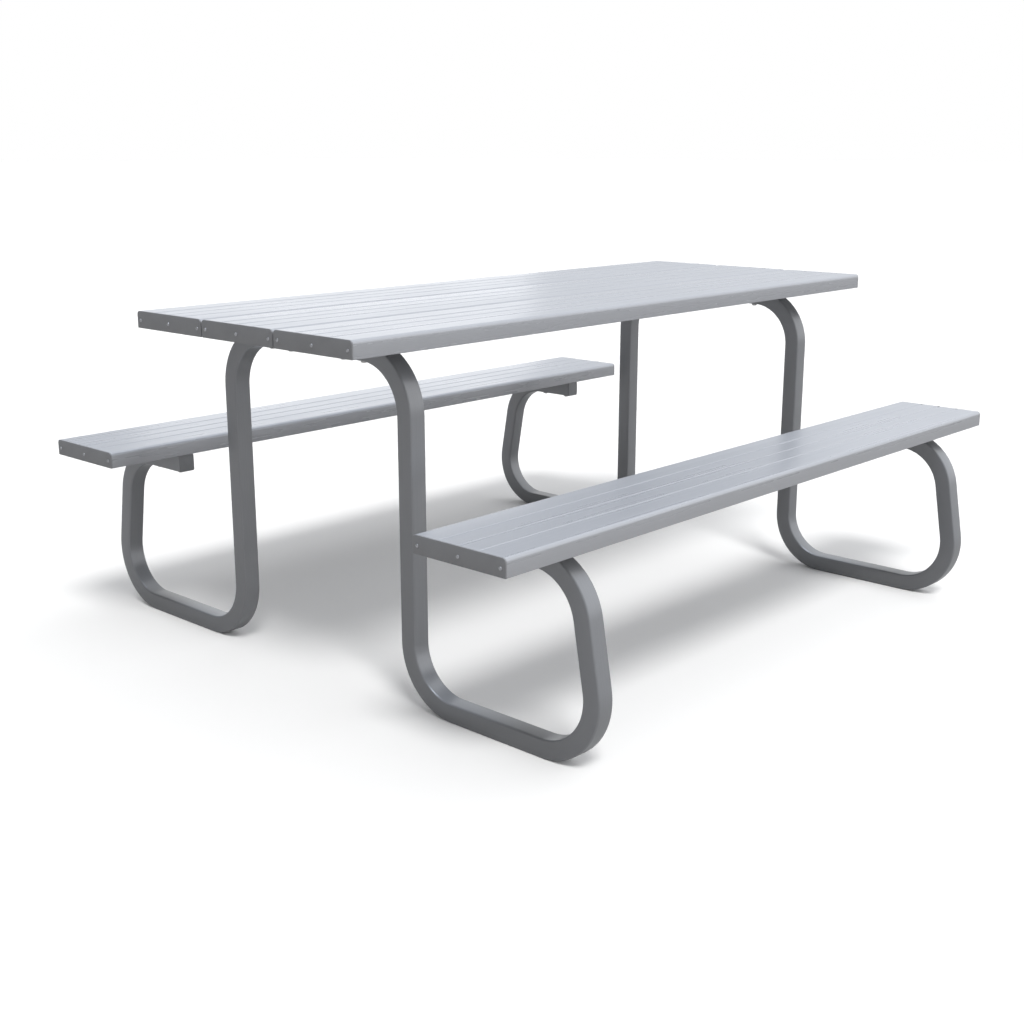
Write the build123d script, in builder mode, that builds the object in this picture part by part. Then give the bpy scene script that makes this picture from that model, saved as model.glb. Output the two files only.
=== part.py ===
"""Aluminium picnic table: two bent-tube end frames, three table planks and two bench planks.

Units are millimetres. +X runs along the planks, +Y across the table, +Z is up.
The origin is on the floor, under the middle of the table.
"""

import os
from math import radians, tan

from build123d import *

# ---------------------------------------------------------------- driving dimensions

# overall
overall_length = 1800.0  # over the end caps
table_height = 775.0  # floor to table surface
seat_height = 446.0  # floor to seat surface
frame_offset = 700.0  # middle of the table to each frame's centre line

# plank extrusion
plank_width = 226.0
plank_depth = 36.0
plank_wall = 3.0
plank_top_radius = 8.0
plank_bottom_radius = 1.5
plank_gap = 4.0  # between two table planks
groove_pitch = 49.0  # between the three grooves in a plank's top
groove_width = 8.0
groove_depth = 1.1
bottom_lip = 14.0  # inward lip along each side wall's foot

# T-slots under each plank
slot_inset = 29.0  # plank's side to the middle of each outer slot
slot_width = 14.0
slot_height = 7.0
slot_mouth = 9.0
slot_wall = 3.0

# screw ports for the end caps
port_inset = 12.0  # plank's side to the middle of each outer port
port_rise = 3.5  # middle of a port above a slot's roof
port_outer = 9.0
port_bore = 4.2

# end caps and their rivets
cap_thickness = 3.0
cap_edge_radius = 0.8
cap_hole = 4.2
lug_reach = 10.0
lug_thickness = 2.0
lug_clearance = 0.3  # under the plank's top skin
lug_side_clearance = 9.0  # to the slots beside it
rivet_head_diameter = 7.2
rivet_head_height = 1.6
rivet_dome_radius = 1.4
rivet_shank_diameter = 4.0
rivet_length = 16.0

# frame tube
tube_size = 40.0
tube_wall = 3.0
tube_corner_radius = 4.0
bend_radius = 120.0  # to the tube's centre line
table_bolt_to_bend = 13.0  # straight tube past the outer table bolt
bench_bolt_to_bend = 10.0  # straight tube past the outer bench bolt
post_lean = 10.0  # degrees from upright
bench_centre = 604.0  # middle of the table to a bench plank's centre line

# sleeve that joins a frame's two half tubes under the table
sleeve_wall = 2.5
sleeve_clearance = 0.2
sleeve_past_bolt = 36.0  # sleeve's end past the middle plank's bolt

# plug in each open end of the tube
plug_flange = 2.0
plug_reach = 14.0
plug_wall = 2.5
plug_clearance = 0.2
plug_setback = 2.0  # plug face behind the bench plank's inner edge

# M8 fasteners
bolt_diameter = 8.0
bolt_hole_clearance = 0.5  # on the radius
head_diameter = 14.0
head_height = 4.4
head_dome_radius = 3.0
socket_across_flats = 5.0
socket_depth = 2.6
washer_diameter = 16.0
washer_thickness = 1.6
nut_across_flats = 13.0
nut_height = 6.5
thread_clearance = 0.1  # on the radius
bolt_reach = 5.4  # past a slot's lips, into the nut

# bar that ties the table planks together at mid-span
tie_bar_width = 50.0
tie_bar_thickness = 6.0
tie_bar_overhang = 32.0  # past its outer bolts
tie_bar_corner_radius = 10.0

# ---------------------------------------------------------------- dependent dimensions

plank_length = overall_length - 2 * cap_thickness
plank_pitch = plank_width + plank_gap
slot_spacing = plank_width / 2 - slot_inset
port_spacing = plank_width / 2 - port_inset
slot_roof = slot_wall + slot_height + slot_wall
port_height = slot_roof + port_rise
bay_centre = slot_spacing / 2
lug_width = slot_spacing - slot_width - 2 * slot_wall - 2 * lug_side_clearance
table_underside = table_height - plank_depth
seat_underside = seat_height - plank_depth
table_run_height = table_underside - tube_size / 2
bench_run_height = seat_underside - tube_size / 2
floor_run_height = tube_size / 2
outer_table_bolt = plank_pitch - slot_spacing
leg_offset = outer_table_bolt + table_bolt_to_bend + bend_radius
post_bend_length = bend_radius * tan(radians(90 - post_lean) / 2)  # its start to its corner
post_top_reach = bench_centre + bench_bolt_to_bend + post_bend_length
floor_reach = post_top_reach + (bench_run_height - floor_run_height) * tan(radians(post_lean))
plug_face_offset = bench_centre - plank_width / 2 + plug_setback
bench_run_end = plug_face_offset + plug_flange
tube_bore = tube_size - 2 * tube_wall
sleeve_size = tube_bore - 2 * sleeve_clearance
sleeve_length = 2 * (slot_spacing + sleeve_past_bolt)
bolt_hole_radius = bolt_diameter / 2 + bolt_hole_clearance
grip_in_plank = slot_wall + bolt_reach
plank_bolt_length = washer_thickness + tube_size + grip_in_plank
tie_bolt_length = washer_thickness + tie_bar_thickness + grip_in_plank

SIDES = {"left": -1, "right": 1}
ROWS = {"front": -1, "back": 1}

# places across a plank, from its centre line
SLOTS = (-slot_spacing, 0, slot_spacing)
PORTS = (-port_spacing, 0, port_spacing)
GROOVES = (-groove_pitch, 0, groove_pitch)

# name of each plank: (Y of its centre line, height of its underside, Y of its bolts)
bench_near_bolt = bench_centre - slot_spacing
PLANKS = {
    "table_plank_front": (-plank_pitch, table_underside, [-outer_table_bolt]),
    "table_plank_middle": (0.0, table_underside, [-slot_spacing, slot_spacing]),
    "table_plank_back": (plank_pitch, table_underside, [outer_table_bolt]),
    "bench_plank_front": (-bench_centre, seat_underside, [-bench_centre, -bench_near_bolt]),
    "bench_plank_back": (bench_centre, seat_underside, [bench_near_bolt, bench_centre]),
}


def save(piece, name):
    """Label one finished piece and write its STEP file."""
    piece.label = name
    export_step(piece, f"parts/{name}.step")


# ---------------------------------------------------------------- planks and their caps


def plank_outline():
    """Outer shape of a plank's section: its foot on y = 0, its width along x."""
    with BuildSketch() as outline:
        Rectangle(plank_width, plank_depth, align=(Align.CENTER, Align.MIN))
        top = outline.vertices().group_by(Axis.Y)[-1]
        fillet(top, radius=plank_top_radius)
        foot = outline.vertices().group_by(Axis.Y)[0]
        fillet(foot, radius=plank_bottom_radius)
    return outline.sketch


def plank_section():
    """Section of the extrusion: skin, side walls, T-slots, screw ports and top grooves."""
    inner_width = plank_width - 2 * plank_wall
    mouth_width = plank_width - 2 * bottom_lip
    with BuildSketch() as section:
        add(plank_outline())
        with Locations((0, plank_wall)):
            Rectangle(
                inner_width,
                plank_depth - 2 * plank_wall,
                align=(Align.CENTER, Align.MIN),
                mode=Mode.SUBTRACT,
            )
        Rectangle(
            mouth_width, plank_wall, align=(Align.CENTER, Align.MIN), mode=Mode.SUBTRACT
        )
        for y in SLOTS:
            with Locations((y, 0)):
                Rectangle(slot_wall, plank_depth - plank_wall, align=(Align.CENTER, Align.MIN))
                Rectangle(
                    slot_width + 2 * slot_wall, slot_roof, align=(Align.CENTER, Align.MIN)
                )
                Rectangle(
                    slot_mouth, slot_wall, align=(Align.CENTER, Align.MIN), mode=Mode.SUBTRACT
                )
            with Locations((y, slot_wall)):
                Rectangle(
                    slot_width, slot_height, align=(Align.CENTER, Align.MIN), mode=Mode.SUBTRACT
                )
        for side in (-1, 1):
            web_centre = side * (port_spacing + plank_width / 2 - plank_wall) / 2
            web_width = plank_width / 2 - plank_wall / 2 - port_spacing
            with Locations((web_centre, port_height)):
                Rectangle(web_width, plank_wall)
        with Locations(*[(y, port_height) for y in PORTS]):
            Circle(port_outer / 2)
            Circle(port_bore / 2, mode=Mode.SUBTRACT)
        with Locations(*[(y, plank_depth) for y in GROOVES]):
            Ellipse(groove_width / 2, groove_depth, mode=Mode.SUBTRACT)
    return section.sketch


def make_plank(name, y, underside):
    """One plank, extruded along X, with its foot at the given height."""
    middle = Plane(origin=(0, y, underside), x_dir=(0, 1, 0), z_dir=(1, 0, 0))
    with BuildPart() as plank:
        with BuildSketch(middle):
            add(plank_section())
        extrude(amount=plank_length / 2, both=True)
    save(plank.part, name)


def end_plane(side, y, height, reach):
    """Plane across a plank's end, facing away from the middle of the table."""
    return Plane(origin=(side * reach, y, height), x_dir=(0, side, 0), z_dir=(side, 0, 0))


def make_end_cap(name, side, y, underside):
    """Cover plate on a plank's end, with two lugs that sit under the plank's top skin."""
    lug_height = plank_depth - plank_wall - lug_clearance - lug_thickness / 2
    with BuildPart() as cap:
        with BuildSketch(end_plane(side, y, underside, plank_length / 2)):
            add(plank_outline())
            with Locations(*[(offset, port_height) for offset in PORTS]):
                Circle(cap_hole / 2, mode=Mode.SUBTRACT)
        extrude(amount=cap_thickness)
        outer_face = cap.faces().sort_by(Axis.X)[-1 if side > 0 else 0]
        fillet(outer_face.outer_wire().edges(), radius=cap_edge_radius)
        with BuildSketch(end_plane(side, y, underside, plank_length / 2)):
            with Locations((-bay_centre, lug_height), (bay_centre, lug_height)):
                Rectangle(lug_width, lug_thickness)
        extrude(amount=-lug_reach)
    save(cap.part, name)


def make_cap_rivets(name, side, y, underside):
    """The three domed rivets that hold one end cap."""
    outside = end_plane(side, y, underside, plank_length / 2 + cap_thickness)
    with BuildPart() as rivets:
        for offset in PORTS:
            seat = outside.shift_origin(outside.from_local_coords((offset, port_height, 0)))
            with BuildSketch(seat):
                Circle(rivet_shank_diameter / 2)
            extrude(amount=-rivet_length)
            with BuildSketch(seat):
                Circle(rivet_head_diameter / 2)
            extrude(amount=rivet_head_height)
        crowns = rivets.faces().filter_by(Plane.YZ).group_by(Axis.X)[-1 if side > 0 else 0]
        fillet(crowns.edges(), radius=rivet_dome_radius)
    save(rivets.part, name)


# ---------------------------------------------------------------- frames


def half_tube_path(x, side):
    """Centre line of half a frame: from the middle of the table to one bench."""
    corners = [
        (0, table_run_height),
        (leg_offset, table_run_height),
        (leg_offset, floor_run_height),
        (floor_reach, floor_run_height),
        (post_top_reach, bench_run_height),
        (bench_run_end, bench_run_height),
    ]
    with BuildLine() as path:
        FilletPolyline(*[(x, side * y, z) for y, z in corners], radius=bend_radius)
    return path.line


def bolt_sites(x):
    """Middle of each drilling for a plank bolt, on the frame's centre line."""
    return [
        (x, y, underside - tube_size / 2)
        for _, underside, bolt_row in PLANKS.values()
        for y in bolt_row
    ]


def make_half_tube(name, x, side):
    """One bent square tube, drilled for the plank bolts on its side of the table."""
    path = half_tube_path(x, side)
    with BuildPart() as tube:
        with BuildSketch(Plane(origin=path @ 0, x_dir=(1, 0, 0), z_dir=path % 0)):
            RectangleRounded(tube_size, tube_size, radius=tube_corner_radius)
            RectangleRounded(
                tube_bore,
                tube_bore,
                radius=tube_corner_radius - tube_wall,
                mode=Mode.SUBTRACT,
            )
        sweep(path=path)
        with Locations(*[site for site in bolt_sites(x) if site[1] * side > 0]):
            Cylinder(bolt_hole_radius, tube_size + tube_wall, mode=Mode.SUBTRACT)
    save(tube.part, name)


def make_sleeve(name, x):
    """Inner tube that joins two half tubes, held by the middle plank's bolts."""
    corner = tube_corner_radius - tube_wall
    bore = sleeve_size - 2 * sleeve_wall
    with BuildPart() as sleeve:
        with BuildSketch(Plane.XZ):
            with Locations((x, table_run_height)):
                RectangleRounded(sleeve_size, sleeve_size, radius=corner)
                Rectangle(bore, bore, mode=Mode.SUBTRACT)
        extrude(amount=sleeve_length / 2, both=True)
        with Locations((x, -slot_spacing, table_run_height), (x, slot_spacing, table_run_height)):
            Cylinder(bolt_hole_radius, tube_size, mode=Mode.SUBTRACT)
    save(sleeve.part, name)


def make_tube_plug(name, x, side):
    """Square plug that closes the tube's end under a bench."""
    origin = (x, side * bench_run_end, bench_run_height)
    mouth = Plane(origin=origin, x_dir=(1, 0, 0), z_dir=(0, -side, 0))
    body = tube_bore - 2 * plug_clearance
    with BuildPart() as plug:
        with BuildSketch(mouth):
            RectangleRounded(tube_size, tube_size, radius=tube_corner_radius)
        extrude(amount=plug_flange)
        face = plug.faces().sort_by(Axis.Y)[0 if side > 0 else -1]
        fillet(face.edges(), radius=plug_flange / 2)
        with BuildSketch(mouth):
            RectangleRounded(body, body, radius=tube_corner_radius - tube_wall)
            Rectangle(body - 2 * plug_wall, body - 2 * plug_wall, mode=Mode.SUBTRACT)
        extrude(amount=-plug_reach)
    save(plug.part, name)


# ---------------------------------------------------------------- fasteners


def make_bolts(name, sites, underside, length):
    """Button-head bolts, heads down, whose washers seat on the given undersides."""
    with BuildPart() as bolts:
        for x, y in sites:
            seat = Plane(origin=(x, y, underside - washer_thickness))
            with BuildSketch(seat):
                Circle(bolt_diameter / 2)
            extrude(amount=length)
            with BuildSketch(seat):
                Circle(head_diameter / 2)
            extrude(amount=-head_height)
        crowns = bolts.faces().filter_by(Plane.XY).group_by(Axis.Z)[0].edges()
        fillet(crowns, radius=head_dome_radius)
        for x, y in sites:
            with BuildSketch(Plane(origin=(x, y, underside - washer_thickness - head_height))):
                RegularPolygon(socket_across_flats / 2, 6, major_radius=False)
            extrude(amount=socket_depth, mode=Mode.SUBTRACT)
    save(bolts.part, name)


def make_washers(name, sites, underside):
    """Flat washers against the given underside."""
    with BuildPart() as washers:
        for x, y in sites:
            with BuildSketch(Plane(origin=(x, y, underside))):
                Circle(washer_diameter / 2)
                Circle(bolt_hole_radius, mode=Mode.SUBTRACT)
            extrude(amount=-washer_thickness)
    save(washers.part, name)


def make_nuts(name, sites, plank_underside):
    """Hexagon nuts that lie in a plank's T-slots, on the slot's lips."""
    with BuildPart() as nuts:
        for x, y in sites:
            with BuildSketch(Plane(origin=(x, y, plank_underside + slot_wall))):
                RegularPolygon(nut_across_flats / 2, 6, major_radius=False)
                Circle(bolt_diameter / 2 + thread_clearance, mode=Mode.SUBTRACT)
            extrude(amount=nut_height)
    save(nuts.part, name)


def make_tie_bar():
    """Flat bar under the table's mid-span, bolted to each plank's middle slot."""
    sites = [(0, y) for y in (-plank_pitch, 0, plank_pitch)]
    length = 2 * (plank_pitch + tie_bar_overhang)
    with BuildPart() as bar:
        with BuildSketch(Plane.XY.offset(table_underside)):
            RectangleRounded(tie_bar_width, length, radius=tie_bar_corner_radius)
            with Locations(*sites):
                Circle(bolt_hole_radius, mode=Mode.SUBTRACT)
        extrude(amount=-tie_bar_thickness)
    save(bar.part, "tie_bar")
    bar_underside = table_underside - tie_bar_thickness
    make_bolts("tie_bar_bolts", sites, bar_underside, tie_bolt_length)
    make_washers("tie_bar_washers", sites, bar_underside)
    make_nuts("tie_bar_nuts", sites, table_underside)


# ---------------------------------------------------------------- the whole table

os.makedirs("parts", exist_ok=True)

for plank_name, (plank_y, plank_underside, bolt_ys) in PLANKS.items():
    make_plank(plank_name, plank_y, plank_underside)
    for side_name, direction in SIDES.items():
        make_end_cap(f"{plank_name}_cap_{side_name}", direction, plank_y, plank_underside)
        make_cap_rivets(f"{plank_name}_rivets_{side_name}", direction, plank_y, plank_underside)
    bolt_places = [(s * frame_offset, y) for s in SIDES.values() for y in bolt_ys]
    tube_underside = plank_underside - tube_size
    make_bolts(f"{plank_name}_bolts", bolt_places, tube_underside, plank_bolt_length)
    make_washers(f"{plank_name}_washers", bolt_places, tube_underside)
    make_nuts(f"{plank_name}_nuts", bolt_places, plank_underside)

for side_name, direction in SIDES.items():
    frame_x = direction * frame_offset
    make_sleeve(f"frame_sleeve_{side_name}", frame_x)
    for row_name, row in ROWS.items():
        make_half_tube(f"frame_{side_name}_{row_name}", frame_x, row)
        make_tube_plug(f"tube_plug_{side_name}_{row_name}", frame_x, row)

make_tie_bar()
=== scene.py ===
"""Picnic table of anodised aluminium planks on two bent-tube end frames.

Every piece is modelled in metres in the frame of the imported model: +X along the planks,
+Y towards the back bench, +Z up, with the origin on the floor under the middle of the table.
"""

import logging
import math
from dataclasses import dataclass, field
from enum import Enum
from typing import Iterable, Sequence

import bmesh
import bpy
from bmesh.types import BMesh, BMEdge, BMFace, BMVert
from mathutils import Matrix, Vector


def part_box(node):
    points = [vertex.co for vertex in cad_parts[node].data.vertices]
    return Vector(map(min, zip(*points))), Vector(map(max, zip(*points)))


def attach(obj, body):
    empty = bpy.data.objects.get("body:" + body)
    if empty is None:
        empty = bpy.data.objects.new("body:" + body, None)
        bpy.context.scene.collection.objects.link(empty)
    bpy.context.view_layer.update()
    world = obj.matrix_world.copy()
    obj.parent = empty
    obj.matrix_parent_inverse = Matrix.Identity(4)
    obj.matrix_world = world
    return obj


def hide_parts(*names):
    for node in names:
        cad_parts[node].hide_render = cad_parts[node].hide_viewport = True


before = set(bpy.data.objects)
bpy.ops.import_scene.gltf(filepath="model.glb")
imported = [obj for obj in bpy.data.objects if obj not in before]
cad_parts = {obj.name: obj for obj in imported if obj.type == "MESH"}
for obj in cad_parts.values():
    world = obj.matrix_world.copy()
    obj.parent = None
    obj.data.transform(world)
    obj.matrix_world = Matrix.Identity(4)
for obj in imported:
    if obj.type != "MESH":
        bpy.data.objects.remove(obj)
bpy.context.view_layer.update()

BODY = "root"
MM = 0.001
FULL_TURN = 2 * math.pi
QUARTER_TURN = math.pi / 2
SHARP_ANGLE = math.radians(32)
NEAR = 1e-6
QUAD_SIDES = 4
HEX_SIDES = 6
WHITE = (1.0, 1.0, 1.0)
RIM_STEPS = 4
TUBE_PLACE = "tube_place"

log = logging.getLogger("picnic_table")

Point = tuple[float, float]
Colour = tuple[float, float, float]
Material = bpy.types.Material
Node = bpy.types.Node
Socket = bpy.types.NodeSocket


class Side(Enum):
    """End of the table that a piece belongs to, with its direction along X."""

    LEFT = -1
    RIGHT = 1

    @property
    def word(self) -> str:
        """The side's name as the nodes spell it."""
        return self.name.lower()


class Row(Enum):
    """Side of the table that a piece belongs to, with its direction along Y."""

    FRONT = -1
    BACK = 1

    @property
    def word(self) -> str:
        """The row's name as the nodes spell it."""
        return self.name.lower()


# ---------------------------------------------------------------- mesh work


def across(x: float, y: float, z: float, facing: int = 1) -> Matrix:
    """Places a section drawn flat, across and up, on a plane that faces along X.

    Args:
        x: Place of the plane.
        y: Place of the section's own origin across the table.
        z: Place of the section's own origin in height.
        facing: 1 to face +X, -1 to face -X.

    Returns:
        The matrix that turns the section's width to Y, its height to Z and its depth to X.
    """
    return Matrix(
        ((0, 0, facing, x), (1, 0, 0, y), (0, 1, 0, z), (0, 0, 0, 1))
    )


def verts_of(made: dict[str, list]) -> list[BMVert]:
    """The vertices among what a bmesh operator made."""
    return [item for item in made["geom"] if isinstance(item, BMVert)]


def edges_above(bm: BMesh, depth: float) -> list[BMEdge]:
    """Edges that lie wholly above a depth."""
    return [edge for edge in bm.edges if all(vert.co.z > depth for vert in edge.verts)]


def level_edges(bm: BMesh) -> list[BMEdge]:
    """Edges whose two ends are at one depth."""
    return [edge for edge in bm.edges if abs(edge.verts[0].co.z - edge.verts[1].co.z) < NEAR]


def edges_among(verts: Iterable[BMVert]) -> list[BMEdge]:
    """Edges that run between two of the given vertices.

    Args:
        verts: Vertices of one or more loops.

    Returns:
        Each edge once, in the order that the vertices meet them.
    """
    chosen = set(verts)
    found: dict[BMEdge, None] = {}
    for vert in verts:
        for edge in vert.link_edges:
            if edge.other_vert(vert) in chosen:
                found[edge] = None
    return list(found)


def draw_loop(bm: BMesh, points: Sequence[Point]) -> list[BMEdge]:
    """Adds a closed loop of edges on the flat plane.

    Args:
        bm: Mesh to add to.
        points: Corners in order.

    Returns:
        The loop's edges.
    """
    verts = [bm.verts.new((u, v, 0.0)) for u, v in points]
    pairs = zip(verts, verts[1:] + verts[:1])
    return [bm.edges.new(pair) for pair in pairs]


def draw_circle(
    bm: BMesh, centre: Point, radius: float, segments: int, depth: float = 0.0
) -> list[BMEdge]:
    """Adds a circle of edges on the flat plane.

    Args:
        bm: Mesh to add to.
        centre: Middle of the circle.
        radius: Its radius.
        segments: Number of edges.
        depth: Height of the circle above the plane.

    Returns:
        The circle's edges.
    """
    place = Matrix.Translation((*centre, depth))
    made = bmesh.ops.create_circle(bm, cap_ends=False, segments=segments, radius=radius, matrix=place)
    return edges_among(made["verts"])


def fill_between(bm: BMesh, edges: Sequence[BMEdge]) -> list[BMFace]:
    """Fills the flat area between an outer loop and the loops inside it.

    Args:
        bm: Mesh that holds the loops.
        edges: Edges of every loop.

    Returns:
        The new faces.
    """
    made = bmesh.ops.triangle_fill(bm, use_beauty=True, use_dissolve=False, edges=list(edges))
    return [item for item in made["geom"] if isinstance(item, BMFace)]


def thicken(bm: BMesh, faces: Sequence[BMFace], step: Vector) -> list[BMVert]:
    """Extrudes flat faces into a solid.

    Args:
        bm: Mesh that holds the faces.
        faces: Faces to extrude.
        step: How far the new faces move.

    Returns:
        The vertices of the moved faces.
    """
    made = bmesh.ops.extrude_face_region(bm, geom=list(faces))
    moved = verts_of(made)
    bmesh.ops.translate(bm, vec=step, verts=moved)
    return moved


def round_edges(bm: BMesh, edges: Sequence[BMEdge], radius: float, segments: int) -> None:
    """Rounds edges with an arc.

    Args:
        bm: Mesh that holds the edges.
        edges: Edges to round.
        radius: Radius of the arc.
        segments: Number of faces along it.
    """
    bmesh.ops.bevel(
        bm,
        geom=list(edges),
        offset=radius,
        offset_type="OFFSET",
        segments=segments,
        profile=0.5,
        affect="EDGES",
        material=-1,
    )


def rounded_plate(bm: BMesh, size: Point, centre: Point, radii: Point, segments: int) -> BMFace:
    """Adds a flat rectangle with rounded corners.

    Args:
        bm: Mesh to add to, with nothing in it yet.
        size: Width and height.
        centre: Middle of the rectangle.
        radii: Radius of the two lower corners, then of the two upper ones.
        segments: Edges along each rounded corner.

    Returns:
        The plate's one face.
    """
    made = bmesh.ops.create_grid(bm, x_segments=1, y_segments=1, size=0.5)
    bmesh.ops.scale(bm, vec=(*size, 1.0), verts=made["verts"])
    low = [vert for vert in made["verts"] if vert.co.y < 0]
    high = [vert for vert in made["verts"] if vert.co.y > 0]
    for corners, radius in ((low, radii[0]), (high, radii[1])):
        bmesh.ops.bevel(
            bm,
            geom=corners,
            offset=radius,
            offset_type="OFFSET",
            segments=segments,
            profile=0.5,
            affect="VERTICES",
            material=-1,
        )
    bmesh.ops.translate(bm, vec=(*centre, 0.0), verts=bm.verts)
    bm.faces.ensure_lookup_table()
    return bm.faces[0]


def drill(
    bm: BMesh, faces: Sequence[BMFace], centres: Sequence[Point], radius: float, segments: int
) -> None:
    """Cuts round holes straight through between two flat faces.

    Args:
        bm: Mesh that holds the faces.
        faces: The two faces, one above the other.
        centres: Middle of each hole.
        radius: Radius of every hole.
        segments: Edges round each hole.
    """
    rims: list[list[list[BMEdge]]] = []
    for face in faces:
        depth = face.calc_center_median().z
        outline = list(face.edges)
        holes = [draw_circle(bm, centre, radius, segments, depth) for centre in centres]
        bmesh.ops.delete(bm, geom=[face], context="FACES_ONLY")
        fill_between(bm, outline + [edge for hole in holes for edge in hole])
        rims.append(holes)
    for upper, lower in zip(*rims):
        bmesh.ops.bridge_loops(bm, edges=upper + lower)


def flat_faces(bm: BMesh, depth: float) -> list[BMFace]:
    """Faces that lie wholly at one depth."""
    return [face for face in bm.faces if all(abs(vert.co.z - depth) < NEAR for vert in face.verts)]


def turn_profile(bm: BMesh, points: Sequence[Point], steps: int, closed: bool = False) -> None:
    """Spins a profile of (radius, depth) points all the way round the depth axis.

    Args:
        bm: Mesh to add to.
        points: The profile in order.
        steps: Steps in the full turn.
        closed: True if the profile's last point joins its first.
    """
    verts = [bm.verts.new((radius, 0.0, depth)) for radius, depth in points]
    pairs = list(zip(verts, verts[1:]))
    if closed:
        pairs.append((verts[-1], verts[0]))
    edges = [bm.edges.new(pair) for pair in pairs]
    bmesh.ops.spin(
        bm,
        geom=verts + edges,
        cent=(0.0, 0.0, 0.0),
        axis=(0.0, 0.0, 1.0),
        angle=FULL_TURN,
        steps=steps,
        use_merge=True,
        use_duplicate=False,
    )


def arc_points(centre: Point, radii: Point, start: float, end: float, steps: int) -> list[Point]:
    """Points along part of an ellipse, both ends included.

    Args:
        centre: Middle of the ellipse.
        radii: Its half width and half height.
        start: Angle of the first point in degrees.
        end: Angle of the last point in degrees.
        steps: Number of chords.

    Returns:
        The points in order.
    """
    angles = [math.radians(start + (end - start) * step / steps) for step in range(steps + 1)]
    return [(centre[0] + radii[0] * math.cos(a), centre[1] + radii[1] * math.sin(a)) for a in angles]


def copy_to(bm: BMesh, places: Sequence[Matrix]) -> None:
    """Repeats the whole mesh at each place, and leaves nothing where it was made.

    Args:
        bm: Mesh to repeat.
        places: Where each copy goes.
    """
    original = list(bm.verts) + list(bm.edges) + list(bm.faces)
    for place in places[1:]:
        made = bmesh.ops.duplicate(bm, geom=original)
        bmesh.ops.transform(bm, matrix=place, verts=verts_of(made))
    bmesh.ops.transform(bm, matrix=places[0], verts=verts_of({"geom": original}))


def close_up(bm: BMesh) -> None:
    """Merges doubled vertices and turns every face outwards."""
    bmesh.ops.remove_doubles(bm, verts=bm.verts, dist=NEAR)
    bmesh.ops.recalc_face_normals(bm, faces=bm.faces)


def make_piece(bm: BMesh, name: str, node: str, material: Material) -> bpy.types.Object:
    """Turns a finished mesh into a piece of the table that stands for its CAD node.

    Args:
        bm: Mesh in its final place. It is freed here.
        name: Name of the piece.
        node: CAD node that it stands for.
        material: Its finish.

    Returns:
        The new object, at the origin.
    """
    mesh = bpy.data.meshes.new(name)
    bm.to_mesh(mesh)
    bm.free()
    mesh.shade_smooth()
    mesh.set_sharp_from_angle(angle=SHARP_ANGLE)
    mesh.materials.append(material)
    piece = bpy.data.objects.new(name, mesh)
    bpy.context.scene.collection.objects.link(piece)
    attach(piece, BODY)
    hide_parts(node)
    log.info("%s stands for %s with %d faces", name, node, len(mesh.polygons))
    return piece


# ---------------------------------------------------------------- shader groups


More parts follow.
